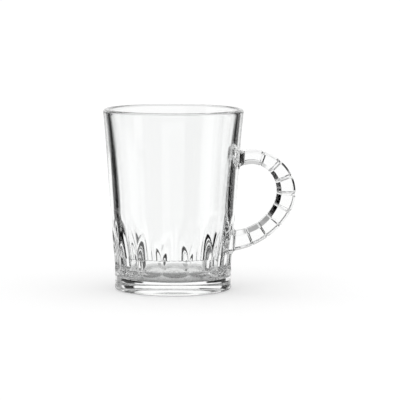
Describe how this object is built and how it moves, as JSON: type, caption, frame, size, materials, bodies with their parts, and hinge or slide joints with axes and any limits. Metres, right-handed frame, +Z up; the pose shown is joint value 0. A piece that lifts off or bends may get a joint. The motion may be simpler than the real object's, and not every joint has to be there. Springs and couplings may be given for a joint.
{
  "type": "glass mug",
  "caption": "Small clear glass mug with a tapering fluted body, a heavy base and a grooved loop handle fused to the wall at two roots.",
  "frame": {"origin": "on the body's axis, in the plane of the underside that the mug stands on", "axes": "+Z up along the body's axis, +X from the axis towards the handle, +Y across the handle"},
  "size_m": [0.1118, 0.0816, 0.105],
  "materials": {
    "body_glass": "clear colourless pressed glass, fire-polished and glossy",
    "handle_glass": "clear colourless pressed glass, glossy, with moulded grooves"
  },
  "bodies": {
    "root": {"mug_body": "body_glass", "handle": "handle_glass"}
  },
  "joints": []
}
